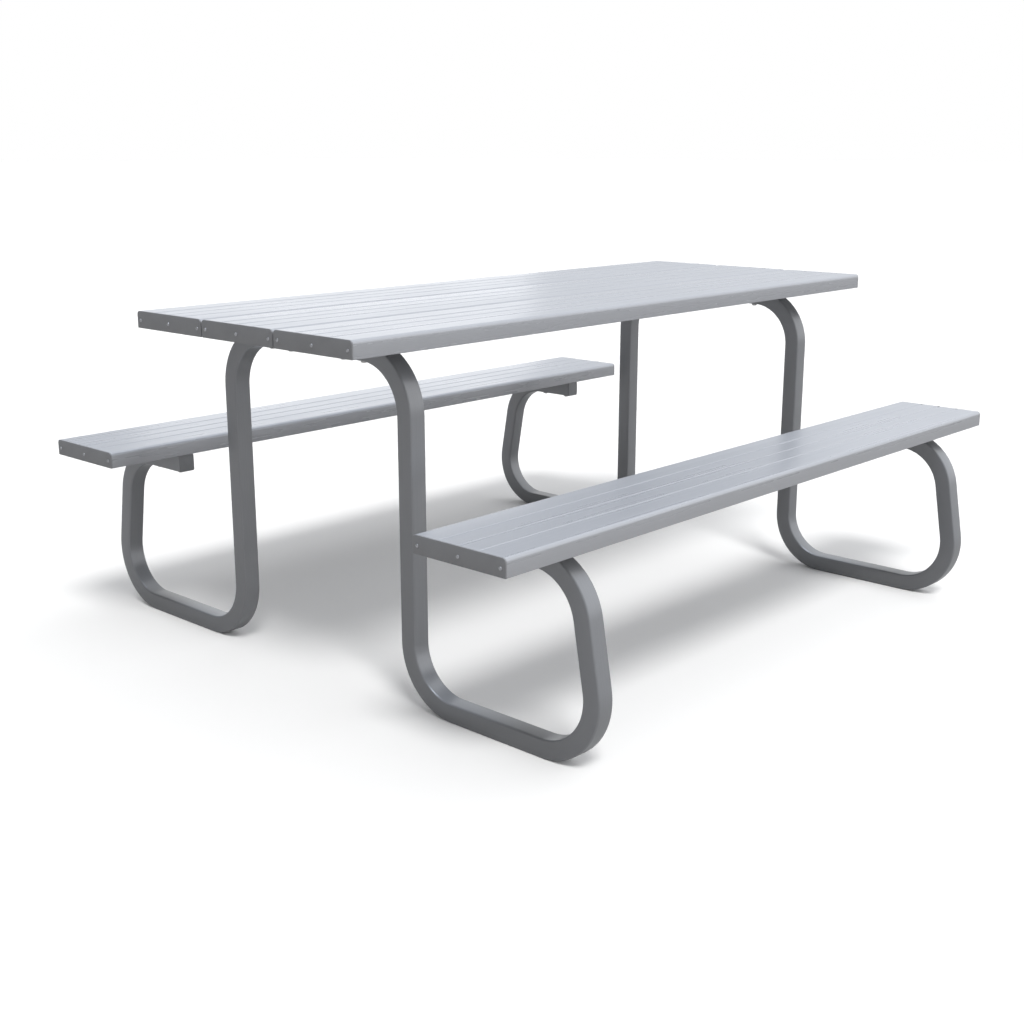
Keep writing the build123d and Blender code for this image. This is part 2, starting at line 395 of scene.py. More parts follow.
class NodeSheet:
    """Adds and wires the nodes of one material or node group."""

    def __init__(self, tree: bpy.types.NodeTree) -> None:
        """Starts on an empty tree."""
        self.tree = tree
        tree.nodes.clear()

    def add(self, kind: str, **settings: object) -> Node:
        """Adds a node and sets its properties.

        Args:
            kind: The node's type.
            **settings: Property names and values.

        Returns:
            The new node.
        """
        node = self.tree.nodes.new(kind)
        for name, value in settings.items():
            setattr(node, name, value)
        return node

    def feed(self, node: Node, **sources: object) -> Node:
        """Wires or sets a node's inputs by name, with _ for a space.

        Args:
            node: Node whose inputs are fed.
            **sources: A socket to wire, or a plain value to set.

        Returns:
            The same node.
        """
        for name, source in sources.items():
            socket = node.inputs[name.replace("_", " ")]
            if isinstance(source, Socket):
                self.tree.links.new(source, socket)
            else:
                socket.default_value = source
        return node

    def wire(self, node: Node, *sources: object) -> Node:
        """Wires or sets a node's inputs in their own order.

        Args:
            node: Node whose inputs are fed.
            *sources: A socket to wire, or a plain value to set.

        Returns:
            The same node.
        """
        for socket, source in zip(node.inputs, sources):
            if isinstance(source, Socket):
                self.tree.links.new(source, socket)
            else:
                socket.default_value = source
        return node

    def math(self, operation: str, *terms: object, clamp: bool = False) -> Socket:
        """Adds a Math node.

        Args:
            operation: Its operation.
            *terms: Sockets or numbers, in the node's order.
            clamp: True to hold the result between 0 and 1.

        Returns:
            The result.
        """
        node = self.add("ShaderNodeMath", operation=operation, use_clamp=clamp)
        return self.wire(node, *terms).outputs[0]

    def spread(
        self, value: Socket, low: float, high: float, to_low: float = 0.0, to_high: float = 1.0
    ) -> Socket:
        """Remaps a value and holds it within the new range.

        Args:
            value: The value.
            low: Where the old range starts.
            high: Where it ends.
            to_low: Start of the new range.
            to_high: End of the new range.

        Returns:
            The remapped value.
        """
        node = self.add("ShaderNodeMapRange")
        self.feed(node, Value=value, From_Min=low, From_Max=high, To_Min=to_low, To_Max=to_high)
        return node.outputs["Result"]

    def around(self, value: Socket, middle: float, reach: float) -> Socket:
        """Remaps a value from 0 and 1 to just below and just above a middle."""
        return self.spread(value, 0.0, 1.0, middle - reach, middle + reach)

    def noise(self, vector: Socket, scale: object, detail: float, roughness: float = 0.5) -> Socket:
        """Adds a noise texture.

        Args:
            vector: Where it is read.
            scale: Its scale, as a socket or a number.
            detail: Number of finer layers.
            roughness: Weight of the finer layers.

        Returns:
            The noise's value.
        """
        node = self.add("ShaderNodeTexNoise")
        self.feed(node, Vector=vector, Scale=scale, Detail=detail, Roughness=roughness)
        return node.outputs["Fac"]

    def tint(self, amount: Socket, first: object, second: object) -> Socket:
        """Mixes two colours.

        Args:
            amount: 0 for the first, 1 for the second.
            first: A colour or a socket.
            second: A colour or a socket.

        Returns:
            The mixed colour.
        """
        node = self.add("ShaderNodeMix", data_type="RGBA", clamp_factor=True)
        self.tree.links.new(amount, node.inputs[0])
        for socket, source in ((node.inputs[6], first), (node.inputs[7], second)):
            if isinstance(source, Socket):
                self.tree.links.new(source, socket)
            else:
                socket.default_value = (*source, 1.0)
        return node.outputs[2]


class SharedGroup:
    """A shader node group with named inputs and outputs, built once."""

    title = ""
    inputs: tuple[tuple[str, str, float], ...] = ()
    outputs: tuple[tuple[str, str], ...] = ()

    @classmethod
    def tree(cls) -> bpy.types.NodeTree:
        """Finds the group's node tree, or builds it the first time.

        Returns:
            The node tree.
        """
        ready = bpy.data.node_groups.get(cls.title)
        if ready:
            return ready
        tree = bpy.data.node_groups.new(cls.title, "ShaderNodeTree")
        sheet = NodeSheet(tree)
        for name, kind, value in cls.inputs:
            socket = tree.interface.new_socket(name, in_out="INPUT", socket_type=kind)
            if kind == "NodeSocketFloat":
                socket.default_value = value
        for name, kind in cls.outputs:
            tree.interface.new_socket(name, in_out="OUTPUT", socket_type=kind)
        source = sheet.add("NodeGroupInput")
        result = sheet.add("NodeGroupOutput")
        cls.build(sheet, source, result)
        return tree

    @classmethod
    def place(cls, sheet: NodeSheet, **sources: object) -> Node:
        """Places the group in a material and feeds its inputs."""
        node = sheet.add("ShaderNodeGroup", node_tree=cls.tree())
        return sheet.feed(node, **sources)

    @classmethod
    def build(cls, sheet: NodeSheet, source: Node, result: Node) -> None:
        """Adds the group's own nodes between its input and its output."""
        raise NotImplementedError


class DrawnLines(SharedGroup):
    """Fine lines that an extrusion die leaves along a profile, whose X runs along it."""

    title = "drawn_lines"
    along = 0.03
    coarse = 0.07
    roughness = 0.6
    contrast = (0.32, 0.68)
    inputs = (("Vector", "NodeSocketVector", 0.0), ("Density", "NodeSocketFloat", 600.0))
    outputs = (("Lines", "NodeSocketFloat"), ("Bands", "NodeSocketFloat"))

    @classmethod
    def build(cls, sheet: NodeSheet, source: Node, result: Node) -> None:
        """Stretches noise along X: fine for the lines, coarse for the bands.

        Args:
            sheet: The group's sheet.
            source: Its input node.
            result: Its output node.
        """
        density = source.outputs["Density"]
        for name, share, detail in (("Lines", 1.0, 1.5), ("Bands", cls.coarse, 2.0)):
            packed = sheet.math("MULTIPLY", density, share)
            stretch = sheet.add("ShaderNodeCombineXYZ")
            sheet.feed(stretch, X=cls.along, Y=packed, Z=packed)
            scaled = sheet.add("ShaderNodeVectorMath", operation="MULTIPLY")
            sheet.wire(scaled, source.outputs["Vector"], stretch.outputs[0])
            value = sheet.noise(scaled.outputs[0], 1.0, detail, cls.roughness)
            sheet.feed(result, **{name: sheet.spread(value, *cls.contrast)})


class EdgeWear(SharedGroup):
    """Mask of the edges where handling has polished a finish."""

    title = "edge_wear"
    patch_scale = 60.0
    edge_agreement = (0.995, 0.8)
    patch_contrast = (0.4, 0.65)
    patch_range = (0.25, 1.0)
    inputs = (
        ("Vector", "NodeSocketVector", 0.0),
        ("Width", "NodeSocketFloat", 0.001),
        ("Amount", "NodeSocketFloat", 0.5),
    )
    outputs = (("Mask", "NodeSocketFloat"),)

    @classmethod
    def build(cls, sheet: NodeSheet, source: Node, result: Node) -> None:
        """Compares the normal with a rounded one, and breaks the result up with noise.

        Args:
            sheet: The group's sheet.
            source: Its input node.
            result: Its output node.
        """
        rounded = sheet.add("ShaderNodeBevel", samples=4)
        sheet.feed(rounded, Radius=source.outputs["Width"])
        plain = sheet.add("ShaderNodeNewGeometry")
        agreement = sheet.add("ShaderNodeVectorMath", operation="DOT_PRODUCT")
        sheet.wire(agreement, rounded.outputs[0], plain.outputs["Normal"])
        edge = sheet.spread(agreement.outputs["Value"], *cls.edge_agreement)
        broken = sheet.noise(source.outputs["Vector"], cls.patch_scale, 4.0, 0.65)
        patches = sheet.spread(broken, *cls.patch_contrast, *cls.patch_range)
        worn = sheet.math("MULTIPLY", edge, patches)
        sheet.feed(result, Mask=sheet.math("MULTIPLY", worn, source.outputs["Amount"], clamp=True))


class Mottle(SharedGroup):
    """Slow uneven tone over a finish."""

    title = "mottle"
    contrast = (0.3, 0.7)
    inputs = (("Vector", "NodeSocketVector", 0.0), ("Scale", "NodeSocketFloat", 5.0))
    outputs = (("Value", "NodeSocketFloat"),)

    @classmethod
    def build(cls, sheet: NodeSheet, source: Node, result: Node) -> None:
        """Reads one soft noise and stretches its range.

        Args:
            sheet: The group's sheet.
            source: Its input node.
            result: Its output node.
        """
        value = sheet.noise(source.outputs["Vector"], source.outputs["Scale"], 4.0, 0.55)
        sheet.feed(result, Value=sheet.spread(value, *cls.contrast))


class SettledDust(SharedGroup):
    """Mask of thin dust that lies on faces turned upwards."""

    title = "settled_dust"
    broad_scale = 3.5
    fine_scale = 900.0
    level_normals = (0.3, 1.0)
    broad_contrast = (0.35, 0.7)
    broad_range = (0.2, 1.0)
    fine_contrast = (0.45, 0.75)
    fine_range = (0.3, 1.0)
    inputs = (("Vector", "NodeSocketVector", 0.0), ("Amount", "NodeSocketFloat", 0.2))
    outputs = (("Mask", "NodeSocketFloat"),)

    @classmethod
    def build(cls, sheet: NodeSheet, source: Node, result: Node) -> None:
        """Weighs a fine and a broad noise by how far the surface faces up.

        Args:
            sheet: The group's sheet.
            source: Its input node.
            result: Its output node.
        """
        plain = sheet.add("ShaderNodeNewGeometry")
        parts = sheet.wire(sheet.add("ShaderNodeSeparateXYZ"), plain.outputs["Normal"])
        upward = sheet.spread(parts.outputs["Z"], *cls.level_normals)
        drifts = sheet.noise(source.outputs["Vector"], cls.broad_scale, 3.0)
        specks = sheet.noise(source.outputs["Vector"], cls.fine_scale, 2.0, 0.7)
        broad = sheet.spread(drifts, *cls.broad_contrast, *cls.broad_range)
        fine = sheet.spread(specks, *cls.fine_contrast, *cls.fine_range)
        lying = sheet.math("MULTIPLY", upward, sheet.math("MULTIPLY", broad, fine))
        sheet.feed(result, Mask=sheet.math("MULTIPLY", lying, source.outputs["Amount"], clamp=True))


class MouldedGrain(SharedGroup):
    """Fine pebbled texture of a moulded part."""

    title = "moulded_grain"
    inputs = (("Vector", "NodeSocketVector", 0.0), ("Scale", "NodeSocketFloat", 1500.0))
    outputs = (("Height", "NodeSocketFloat"),)

    @classmethod
    def build(cls, sheet: NodeSheet, source: Node, result: Node) -> None:
        """Adds small cells to a soft noise.

        Args:
            sheet: The group's sheet.
            source: Its input node.
            result: Its output node.
        """
        cells = sheet.add("ShaderNodeTexVoronoi", feature="SMOOTH_F1")
        sheet.feed(cells, Vector=source.outputs["Vector"], Scale=source.outputs["Scale"])
        soft = sheet.noise(source.outputs["Vector"], source.outputs["Scale"], 2.0)
        sheet.feed(result, Height=sheet.math("ADD", cells.outputs["Distance"], soft))


# ---------------------------------------------------------------- finishes


def tone(colour: Colour, factor: float) -> Colour:
    """The colour made lighter or darker."""
    return tuple(min(channel * factor, 1.0) for channel in colour)


def start_material(name: str) -> tuple[Material, NodeSheet, Node]:
    """Starts a node material.

    Args:
        name: Name of the material.

    Returns:
        The material, its sheet and its Principled node, already wired to the output.
    """
    material = bpy.data.materials.new(name)
    material.use_nodes = True
    sheet = NodeSheet(material.node_tree)
    shader = sheet.add("ShaderNodeBsdfPrincipled")
    output = sheet.add("ShaderNodeOutputMaterial")
    sheet.feed(output, Surface=shader.outputs["BSDF"])
    return material, sheet, shader


def add_bump(sheet: NodeSheet, shader: Node, strength: float, distance: float, height: Socket) -> None:
    """Raises a height over a material's surface.

    Args:
        sheet: The material's sheet.
        shader: Its Principled node.
        strength: How strong the bump is, from 0 to 1.
        distance: Height of the bump in metres.
        height: The height, from 0 to 1.
    """
    bump = sheet.add("ShaderNodeBump")
    sheet.feed(bump, Strength=strength, Distance=distance, Height=height)
    sheet.feed(shader, Normal=bump.outputs["Normal"])


def object_place(sheet: NodeSheet) -> Socket:
    """The place on the piece, in metres in the table's frame."""
    return sheet.add("ShaderNodeTexCoord").outputs["Object"]


def tube_place(sheet: NodeSheet) -> Socket:
    """The place on a bent tube: how far along it, then how far round it."""
    return sheet.add("ShaderNodeAttribute", attribute_name=TUBE_PLACE).outputs["Vector"]


@dataclass(frozen=True)
class DrawnAluminium:
    """Anodised aluminium with lines along its length, polished edges and a little dust."""

    name: str
    slot: str
    colour: Colour
    roughness: float
    metallic: float = 0.25
    line_density: float = 650.0
    line_depth: float = 0.02
    line_height: float = 0.05 * MM
    line_tone: float = 0.035
    mottle_scale: float = 4.0
    mottle_tone: float = 0.05
    wear_width: float = 1.2 * MM
    wear_amount: float = 0.35
    dust_amount: float = 0.06
    dust_colour: Colour = (0.42, 0.40, 0.37)
    soiled_tone: float = 0.4
    polished_tone: float = 1.5
    streak_roughness: float = 0.06
    cloud_roughness: float = 0.04
    dust_roughness: float = 0.5
    worn_roughness: float = 0.08
    follows_tube: bool = False

    def material(self) -> Material:
        """Builds the material.

        Returns:
            A metal whose colour, roughness and bump vary with the lines and the wear.
        """
        material, sheet, shader = start_material(self.name)
        place = object_place(sheet)
        along = tube_place(sheet) if self.follows_tube else place
        lines = DrawnLines.place(sheet, Vector=along, Density=self.line_density)
        cloud = Mottle.place(sheet, Vector=place, Scale=self.mottle_scale).outputs["Value"]
        wear = EdgeWear.place(sheet, Vector=place, Width=self.wear_width, Amount=self.wear_amount)
        dust = SettledDust.place(sheet, Vector=place, Amount=self.dust_amount)

        lined = sheet.tint(
            lines.outputs["Lines"],
            tone(self.colour, 1 - self.line_tone),
            tone(self.colour, 1 + self.line_tone),
        )
        shade = sheet.math("MULTIPLY", cloud, self.mottle_tone)
        clouded = sheet.tint(shade, lined, tone(self.colour, self.soiled_tone))
        bright = tone(self.colour, self.polished_tone)
        polished = sheet.tint(wear.outputs["Mask"], clouded, bright)
        coated = sheet.tint(dust.outputs["Mask"], polished, self.dust_colour)
        sheet.feed(shader, Base_Color=coated)

        streaks = sheet.math("MULTIPLY", lines.outputs["Bands"], self.streak_roughness)
        smoothest = self.roughness - self.cloud_roughness
        uneven = sheet.spread(cloud, 0.0, 1.0, smoothest, self.roughness)
        satin = sheet.math("ADD", streaks, uneven)
        gritty = sheet.math("MULTIPLY", dust.outputs["Mask"], self.dust_roughness)
        rough = sheet.math("ADD", satin, gritty)
        smooth = sheet.math("MULTIPLY", wear.outputs["Mask"], self.worn_roughness)
        sheet.feed(shader, Roughness=sheet.math("SUBTRACT", rough, smooth, clamp=True))

        bare = sheet.math("SUBTRACT", 1.0, dust.outputs["Mask"])
        sheet.feed(shader, Metallic=sheet.math("MULTIPLY", bare, self.metallic))
        add_bump(sheet, shader, self.line_depth, self.line_height, lines.outputs["Lines"])
        return material


@dataclass(frozen=True)
class MouldedPlastic:
    """Grained moulding, a little paler where its edges have been rubbed."""

    name: str
    slot: str
    colour: Colour
    roughness: float = 0.5
    grain_scale: float = 1600.0
    grain_depth: float = 0.25
    grain_height: float = 0.1 * MM
    mottle_scale: float = 18.0
    roughness_reach: float = 0.05
    wear_width: float = 0.8 * MM
    wear_amount: float = 0.7
    dust_amount: float = 0.25
    dust_colour: Colour = (0.45, 0.43, 0.40)
    cloud_tones: Point = (0.93, 1.07)
    rubbed_tone: float = 1.8

    def material(self) -> Material:
        """Builds the material.

        Returns:
            A dielectric with a pebbled bump and rubbed edges.
        """
        material, sheet, shader = start_material(self.name)
        place = object_place(sheet)
        grain = MouldedGrain.place(sheet, Vector=place, Scale=self.grain_scale)
        cloud = Mottle.place(sheet, Vector=place, Scale=self.mottle_scale).outputs["Value"]
        wear = EdgeWear.place(sheet, Vector=place, Width=self.wear_width, Amount=self.wear_amount)
        dust = SettledDust.place(sheet, Vector=place, Amount=self.dust_amount)

        clouded = sheet.tint(cloud, *(tone(self.colour, factor) for factor in self.cloud_tones))
        rubbed = sheet.tint(wear.outputs["Mask"], clouded, tone(self.colour, self.rubbed_tone))
        sheet.feed(shader, Base_Color=sheet.tint(dust.outputs["Mask"], rubbed, self.dust_colour))
        sheet.feed(shader, Roughness=sheet.around(cloud, self.roughness, self.roughness_reach))
        add_bump(sheet, shader, self.grain_depth, self.grain_height, grain.outputs["Height"])
        return material


@dataclass(frozen=True)
class PressedMetal:
    """Bright metal of a small fastener, with faint scuffs, an uneven tone and brighter edges."""

    name: str
    slot: str
    colour: Colour
    roughness: float
    scuff_scale: float = 700.0
    scuff_depth: float = 0.15
    scuff_height: float = 0.03 * MM
    mottle_scale: float = 120.0
    roughness_reach: float = 0.06
    wear_width: float = 0.5 * MM
    wear_amount: float = 0.5
    scuff_contrast: Point = (0.35, 0.65)
    cloud_tones: Point = (0.86, 1.05)
    bright_tone: float = 1.3

    def material(self) -> Material:
        """Builds the material.

        Returns:
            A metal with scuffed roughness and brighter edges.
        """
        material, sheet, shader = start_material(self.name)
        place = object_place(sheet)
        scuffs = sheet.spread(sheet.noise(place, self.scuff_scale, 3.0, 0.6), *self.scuff_contrast)
        cloud = Mottle.place(sheet, Vector=place, Scale=self.mottle_scale).outputs["Value"]
        wear = EdgeWear.place(sheet, Vector=place, Width=self.wear_width, Amount=self.wear_amount)
        clouded = sheet.tint(cloud, *(tone(self.colour, factor) for factor in self.cloud_tones))
        bright = tone(self.colour, self.bright_tone)
        sheet.feed(shader, Base_Color=sheet.tint(wear.outputs["Mask"], clouded, bright))
        shader.inputs["Metallic"].default_value = 1.0
        sheet.feed(shader, Roughness=sheet.around(scuffs, self.roughness, self.roughness_reach))
        add_bump(sheet, shader, self.scuff_depth, self.scuff_height, scuffs)
        return material


Finish = DrawnAluminium | MouldedPlastic | PressedMetal
SATIN_GREY = (0.275, 0.278, 0.286)


@dataclass
class FinishRack:
    """Every finish of the table with its material, made once."""

    plank: DrawnAluminium = DrawnAluminium(
        "anodised_plank",
        "plank_anodised",
        (0.420, 0.424, 0.438),
        0.28,
    )
    tube: DrawnAluminium = DrawnAluminium(
        "satin_tube",
        "frame_satin",
        SATIN_GREY,
        0.30,
        metallic=0.35,
        line_density=420.0,
        line_tone=0.03,
        wear_width=1.6 * MM,
        wear_amount=0.3,
        dust_amount=0.05,
        follows_tube=True,
    )
    bar: DrawnAluminium = DrawnAluminium(
        "satin_bar",
        "frame_satin",
        SATIN_GREY,
        0.30,
        metallic=0.35,
    )
    cap: MouldedPlastic = MouldedPlastic("cap_moulding", "cap_grey", (0.248, 0.247, 0.25))
    plug: MouldedPlastic = MouldedPlastic("plug_moulding", "plug_grey", (0.20, 0.202, 0.206))
    rivet: PressedMetal = PressedMetal(
        "rivet_metal",
        "rivet_aluminium",
        (0.52, 0.52, 0.54),
        0.34,
    )
    steel: PressedMetal = PressedMetal(
        "stainless_fasteners",
        "stainless_steel",
        (0.50, 0.49, 0.48),
        0.28,
    )
    made: dict[str, Material] = field(default_factory=dict)

    def material(self, finish: Finish) -> Material:
        """Finds a finish's material, or builds it the first time.

        Args:
            finish: The finish.

        Returns:
            Its material.
        """
        if finish.name not in self.made:
            self.made[finish.name] = finish.material()
        return self.made[finish.name]

    def dress(self, bm: BMesh, node: str, word: str, finish: Finish) -> None:
        """Makes a finished piece of a mesh.

        Args:
            bm: Mesh in its final place. It is freed here.
            node: CAD node that the piece stands for.
            word: End of the piece's name.
            finish: Its finish.
        """
        make_piece(bm, f"{node}_{word}", node, self.material(finish))


# ---------------------------------------------------------------- fasteners


@dataclass
class BoltedJoint:
    """M8 button-head bolts, washers and nuts that clamp a plank to what lies under it."""

    shank_radius: float = 4 * MM
    head_radius: float = 7 * MM
    head_height: float = 4.4 * MM
    dome: float = 3 * MM
    socket_across_flats: float = 5 * MM
    socket_depth: float = 2.6 * MM
    tip_chamfer: float = 0.8 * MM
    washer_radius: float = 8 * MM
    washer_thickness: float = 1.6 * MM
    washer_edge: float = 0.3 * MM
    hole_radius: float = 4.5 * MM
    nut_across_flats: float = 13 * MM
    nut_height: float = 6.5 * MM
    nut_bore_radius: float = 4.1 * MM
    nut_edge: float = 0.4 * MM
    lip: float = 3 * MM
    reach: float = 5.4 * MM
    steps: int = 40
    dome_steps: int = 8
    edge_steps: int = 2

    def bolt(self, grip: float) -> BMesh:
        """One bolt, head down, whose head bears on depth 0.

        Args:
            grip: Height from under the head to the tip.

        Returns:
            The bolt's mesh.
        """
        bm = bmesh.new()
        flat = self.head_radius - self.dome
        middle = (flat, self.dome - self.head_height)
        crown = arc_points(middle, (self.dome, self.dome), -90, 0, self.dome_steps)
        tip = [
            (self.shank_radius, 0.0),
            (self.shank_radius, grip - self.tip_chamfer),
            (self.shank_radius - self.tip_chamfer, grip),
            (0.0, grip),
        ]
        turn_profile(bm, [*crown, (self.head_radius, 0.0), *tip], self.steps)
        bmesh.ops.remove_doubles(bm, verts=bm.verts, dist=NEAR)
        floor = -self.head_height
        rim = [vert for vert in bm.verts if abs(vert.co.z - floor) < NEAR]
        corner_radius = self.socket_across_flats / 2 / math.cos(math.pi / HEX_SIDES)
        mouth = draw_circle(bm, (0.0, 0.0), corner_radius, HEX_SIDES, floor)
        fill_between(bm, edges_among(rim) + mouth)
        made = bmesh.ops.extrude_edge_only(bm, edges=mouth)
        sunk = verts_of(made)
        bmesh.ops.translate(bm, vec=(0.0, 0.0, self.socket_depth), verts=sunk)
        bmesh.ops.holes_fill(bm, edges=edges_among(sunk), sides=HEX_SIDES)
        return bm

    def washer(self) -> BMesh:
        """Turns one washer that lies below depth 0.

        Returns:
            The washer's mesh.
        """
        bm = bmesh.new()
        edge = self.washer_edge
        profile = [
            (self.hole_radius, 0.0),
            (self.washer_radius - edge, 0.0),
            (self.washer_radius, -edge),
            (self.washer_radius, edge - self.washer_thickness),
            (self.washer_radius - edge, -self.washer_thickness),
            (self.hole_radius, -self.washer_thickness),
        ]
        turn_profile(bm, profile, self.steps, closed=True)
        return bm

    def nut(self) -> BMesh:
        """Makes one nut that stands on depth 0, with a corner along the planks.

        Returns:
            The nut's mesh.
        """
        bm = bmesh.new()
        corner_radius = self.nut_across_flats / 2 / math.cos(math.pi / HEX_SIDES)
        turn = Matrix.Rotation(QUARTER_TURN, 4, "Z")
        made = bmesh.ops.create_circle(
            bm, cap_ends=True, segments=HEX_SIDES, radius=corner_radius, matrix=turn
        )
        thicken(bm, list(made["verts"][0].link_faces), Vector((0.0, 0.0, self.nut_height)))
        round_edges(bm, level_edges(bm), self.nut_edge, self.edge_steps)
        faces = flat_faces(bm, 0.0) + flat_faces(bm, self.nut_height)
        drill(bm, faces, [(0.0, 0.0)], self.nut_bore_radius, self.steps)
        return bm

    def fit(self, stem: str, sites: Sequence[Point], top: float, grip: float, rack: FinishRack) -> None:
        """Fits bolts, washers and nuts at every site.

        Args:
            stem: Start of the nodes' names.
            sites: X and Y of each bolt.
            top: Height of the slot lips' undersides, where the clamped piece meets the plank.
            grip: Thickness of the clamped piece.
            rack: The finishes.
        """
        under = top - grip
        length = self.washer_thickness + grip + self.lip + self.reach
        groups = (
            ("bolts", self.bolt(length), under - self.washer_thickness),
            ("washers", self.washer(), under),
            ("nuts", self.nut(), top + self.lip),
        )
        for word, bm, height in groups:
            copy_to(bm, [Matrix.Translation((x, y, height)) for x, y in sites])
            close_up(bm)
            node = f"{stem}_{word}"
            rack.dress(bm, node, "steel", rack.steel)


# ---------------------------------------------------------------- planks


@dataclass
class PlankSection:
    """Section of the plank extrusion, drawn across and up from the middle of its foot."""

    width: float = 226 * MM
    depth: float = 36 * MM
    wall: float = 3 * MM
    top_radius: float = 8 * MM
    foot_radius: float = 1.5 * MM
    lip: float = 14 * MM
    groove_pitch: float = 49 * MM
    groove_width: float = 8 * MM
    groove_depth: float = 1.1 * MM
    slot_inset: float = 29 * MM
    slot_width: float = 14 * MM
    slot_height: float = 7 * MM
    slot_mouth: float = 9 * MM
    port_inset: float = 12 * MM
    port_rise: float = 3.5 * MM
    port_radius: float = 4.5 * MM
    port_bore: float = 2.1 * MM
    corner_steps: int = 12
    port_steps: int = 24

    @property
    def slot_spacing(self) -> float:
        """Middle of the plank to each outer slot."""
        return self.width / 2 - self.slot_inset

    @property
    def port_spacing(self) -> float:
        """Middle of the plank to each outer screw port."""
        return self.width / 2 - self.port_inset

    @property
    def slot_roof(self) -> float:
        """Height of the top of a slot's box."""
        return self.slot_height + 2 * self.wall

    @property
    def port_height(self) -> float:
        """Height of the screw ports' middles."""
        return self.slot_roof + self.port_rise

    @property
    def ports(self) -> list[Point]:
        """Middle of each screw port."""
        return [(offset, self.port_height) for offset in (-self.port_spacing, 0.0, self.port_spacing)]

    def slot_mouth_points(self, centre: float) -> list[Point]:
        """Draws the inside of one T-slot with its two lips.

        Args:
            centre: Middle of the slot, across the plank.

        Returns:
            The points in order, from the outer lip to the inner one.
        """
        mouth, half, wall = self.slot_mouth / 2, self.slot_width / 2, self.wall
        ceiling = wall + self.slot_height
        return [
            (centre + mouth, 0.0),
            (centre + mouth, wall),
            (centre + half, wall),
            (centre + half, ceiling),
            (centre - half, ceiling),
            (centre - half, wall),
            (centre - mouth, wall),
            (centre - mouth, 0.0),
        ]

    def half_outline(self) -> list[Point]:
        """Outline of one half, from the middle groove round to the middle slot's ceiling.

        Returns:
            The points in order. The first and the last lie on the plank's middle.
        """
        side, top, skin = self.width / 2, self.depth, self.depth - self.wall
        web, roof = self.wall / 2, self.slot_roof
        slot, box = self.slot_spacing, self.slot_width / 2 + self.wall
        groove = (self.groove_width / 2, self.groove_depth)
        bend, foot = self.top_radius, self.foot_radius
        port, ring = (self.port_spacing, self.port_height), (self.port_radius, self.port_radius)
        meets = math.degrees(math.asin(web / self.port_radius))
        lands = math.degrees(math.asin((roof - self.port_height) / self.port_radius))
        steps = self.corner_steps
        return [
            *arc_points((0.0, top), groove, -90, 0, steps // 2),
            *arc_points((self.groove_pitch, top), groove, -180, 0, steps),
            *arc_points((side - bend, top - bend), (bend, bend), 90, 0, steps),
            *arc_points((side - foot, foot), (foot, foot), 0, -90, steps // 3),
            (side - self.lip, 0.0),
            (side - self.lip, self.wall),
            (side - self.wall, self.wall),
            (side - self.wall, self.port_height - web),
            *arc_points(port, ring, -meets, meets - 360, self.port_steps),
            (side - self.wall, self.port_height + web),
            (side - self.wall, skin),
            (slot + web, skin),
            (slot + web, roof),
            (slot + box, roof),
            (slot + box, 0.0),
            *self.slot_mouth_points(slot),
            (slot - box, 0.0),
            (slot - box, roof),
            (slot - web, roof),
            (slot - web, skin),
            (web, skin),
            *arc_points((0.0, self.port_height), ring, 90 - meets, lands, steps),
            (box, roof),
            (box, 0.0),
            *self.slot_mouth_points(0.0)[:4],
            (0.0, self.wall + self.slot_height),
        ]

    def extrusion(self, length: float) -> BMesh:
        """The extrusion, drawn flat and extruded along its own depth from 0.

        Args:
            length: Length of the plank.

        Returns:
            The plank's mesh.
        """
        bm = bmesh.new()
        half = self.half_outline()
        other = [(-aside, up) for aside, up in reversed(half[1:-1])]
        outline = draw_loop(bm, half + other)
        bores = [draw_circle(bm, port, self.port_bore, self.port_steps) for port in self.ports]
        faces = fill_between(bm, outline + [edge for bore in bores for edge in bore])
        thicken(bm, faces, Vector((0.0, 0.0, length)))
        return bm


